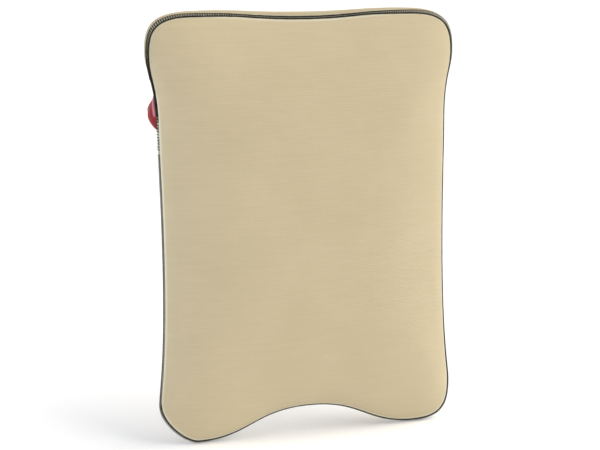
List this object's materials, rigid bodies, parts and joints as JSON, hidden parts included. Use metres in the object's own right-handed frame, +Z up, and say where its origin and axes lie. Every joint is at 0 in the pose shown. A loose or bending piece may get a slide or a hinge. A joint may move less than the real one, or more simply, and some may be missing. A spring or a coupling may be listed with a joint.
{
  "type": "lumbar support cushion",
  "caption": "Inflatable lumbar support cushion in a knit neoprene cover with a dark edge seam, tailbone arch and a side valve.",
  "frame": {"origin": "below the middle of the cushion, level with its two bottom lobes, midway through its thickness", "axes": "+Z up towards the two ears, -Y towards the sitter's back, +Y towards the chair's backrest, valve on the -X side"},
  "size_m": [0.3192, 0.072, 0.4442],
  "materials": {
    "knit_neoprene": "matt rib knit",
    "seam_thread": "matt spun thread",
    "red_vinyl": "glossy and a little see-through"
  },
  "bodies": {
    "cushion": {"front_cover": "knit_neoprene", "back_cover": "knit_neoprene", "seam_cover_thread": "seam_thread", "seam_needle_thread_front": "seam_thread", "seam_needle_thread_back": "seam_thread", "slit_binding_front": "seam_thread", "slit_binding_back": "seam_thread", "bladder_front_sheet": "red_vinyl", "bladder_back_sheet": "red_vinyl", "valve_neck": "red_vinyl", "valve_flange": "red_vinyl", "valve_stem": "red_vinyl", "plug_strap": "red_vinyl"},
    "plug": {"valve_plug": "red_vinyl"},
    "flap": {"check_flap": "red_vinyl"}
  },
  "joints": [
    {"name": "plug_pull", "type": "slide", "parent": "cushion", "child": "plug", "axis": [-0.9205, 0.3907, 0], "range_m": [0, 0.009], "deforming": ["plug_strap"]},
    {"name": "flap_open", "type": "hinge", "parent": "cushion", "child": "flap", "pos_m": [-0.14245, 0.00506, 0.3515], "axis": [-0.3907, -0.9205, 0], "range_deg": [0, 35], "stiffness_Nm_per_rad": 0.00002}
  ]
}
